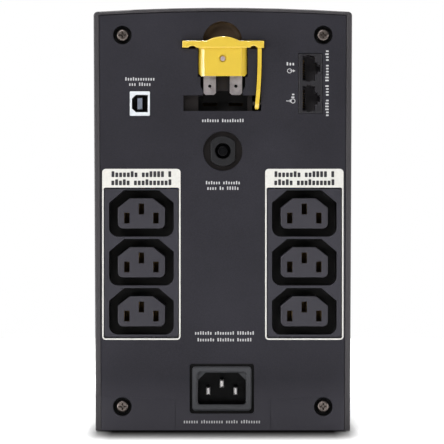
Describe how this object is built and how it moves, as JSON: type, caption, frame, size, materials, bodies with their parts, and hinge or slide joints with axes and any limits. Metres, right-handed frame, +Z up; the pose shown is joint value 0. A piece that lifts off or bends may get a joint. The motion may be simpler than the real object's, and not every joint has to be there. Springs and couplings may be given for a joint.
{
  "type": "uninterruptible power supply",
  "caption": "Upright tower battery backup with a charcoal case, rear mains outlets and inlet, data sockets, reset breaker and a swinging yellow battery connector.",
  "frame": {"origin": "middle of the footprint, on the surface that the feet stand on", "axes": "+Z up, -Y towards the front bezel, +Y towards the socket panel, +X to the left of someone facing the socket panel"},
  "size_m": [0.1314, 0.336, 0.2155],
  "materials": {
    "casing_plastic": "fine moulded texture",
    "panel_plastic": "fine moulded texture",
    "bank_plastic": "satin",
    "socket_plastic": "satin",
    "inlet_plastic": "satin gloss",
    "breaker_plastic": "satin",
    "button_plastic": "satin",
    "power_button_plastic": "satin silver",
    "jack_plastic": "gloss black",
    "black_plastic": "satin",
    "yellow_plastic": "satin yellow",
    "window_gloss": "high gloss",
    "lens_clear": "clear",
    "rubber_grey": "matte",
    "screw_steel": "zinc plated",
    "tin_plate": "bright tin",
    "contact_brass": "bright",
    "tongue_plastic": "satin",
    "battery_abs": "satin",
    "lead_metal": "dull",
    "core_steel": "laminated",
    "bobbin_nylon": "satin",
    "enamel_copper": "enamelled",
    "strap_steel": "zinc plated",
    "board_green": "solder mask",
    "heatsink_aluminium": "extruded",
    "epoxy_black": "moulded epoxy",
    "capacitor_sleeve": "sleeve",
    "relay_blue": "gloss",
    "ferrite": "coated",
    "fuse_glass": "clear",
    "post_nylon": "satin",
    "lead_red": "cable sheath",
    "lead_black": "cable sheath",
    "wire_brown": "cable sheath"
  },
  "bodies": {
    "chassis": {"base_tray": "casing_plastic", "battery_case": "battery_abs", "battery_lead_black": "lead_black", "battery_lead_red": "lead_red", "battery_lid": "battery_abs", "battery_plates": "lead_metal", "battery_terminals": "tin_plate", "beeper": "epoxy_black", "board_screws": "screw_steel", "board_shelf": "black_plastic", "breaker_body": "breaker_plastic", "breaker_tabs": "contact_brass", "capacitors": "capacitor_sleeve", "casing": "casing_plastic", "connector_pin": "screw_steel", "connector_receptacle": "black_plastic", "display_window": "window_gloss", "ferrite_choke": "ferrite", "front_bezel": "casing_plastic", "front_board": "board_green", "front_board_posts": "post_nylon", "front_cable": "wire_brown", "fuse_clips": "contact_brass", "fuses": "fuse_glass", "heat_sinks": "heatsink_aluminium", "inlet_housing": "inlet_plastic", "inlet_pins": "tin_plate", "light_pipes": "lens_clear", "main_board": "board_green", "mains_wires": "wire_brown", "network_contacts": "contact_brass", "network_jacks": "jack_plastic", "outlet_bank_left": "bank_plastic", "outlet_bank_right": "bank_plastic", "outlet_bars": "contact_brass", "outlet_contacts_left": "contact_brass", "outlet_contacts_right": "contact_brass", "outlet_cores_left": "socket_plastic", "outlet_cores_right": "socket_plastic", "power_switch": "epoxy_black", "power_transistors": "epoxy_black", "rear_panel": "panel_plastic", "rear_screws": "screw_steel", "receptacle_contacts": "contact_brass", "relays": "relay_blue", "rubber_feet": "rubber_grey", "status_lamps": "lens_clear", "transformer_bobbin": "bobbin_nylon", "transformer_bolts": "screw_steel", "transformer_core": "core_steel", "transformer_primary": "enamel_copper", "transformer_secondary": "enamel_copper", "transformer_strap": "strap_steel", "usb_shell": "tin_plate", "usb_tongue": "tongue_plastic"},
    "battery_connector": {"connector_grip": "yellow_plastic", "connector_blades": "tin_plate", "connector_rivet": "screw_steel"},
    "reset_plunger": {"reset_button": "button_plastic"},
    "power_key": {"power_button": "power_button_plastic"}
  },
  "joints": [
    {"name": "connector_swing", "type": "hinge", "parent": "chassis", "child": "battery_connector", "pos_m": [-0.0175, 0.1632, 0.167], "axis": [-1, 0, 0], "range_deg": [0, 90]},
    {"name": "reset_travel", "type": "slide", "parent": "chassis", "child": "reset_plunger", "axis": [0, 1, 0], "range_m": [0, 0.0035]},
    {"name": "power_press", "type": "slide", "parent": "chassis", "child": "power_key", "axis": [0, 1, 0], "range_m": [0, 0.0015], "stiffness_N_per_m": 400}
  ]
}
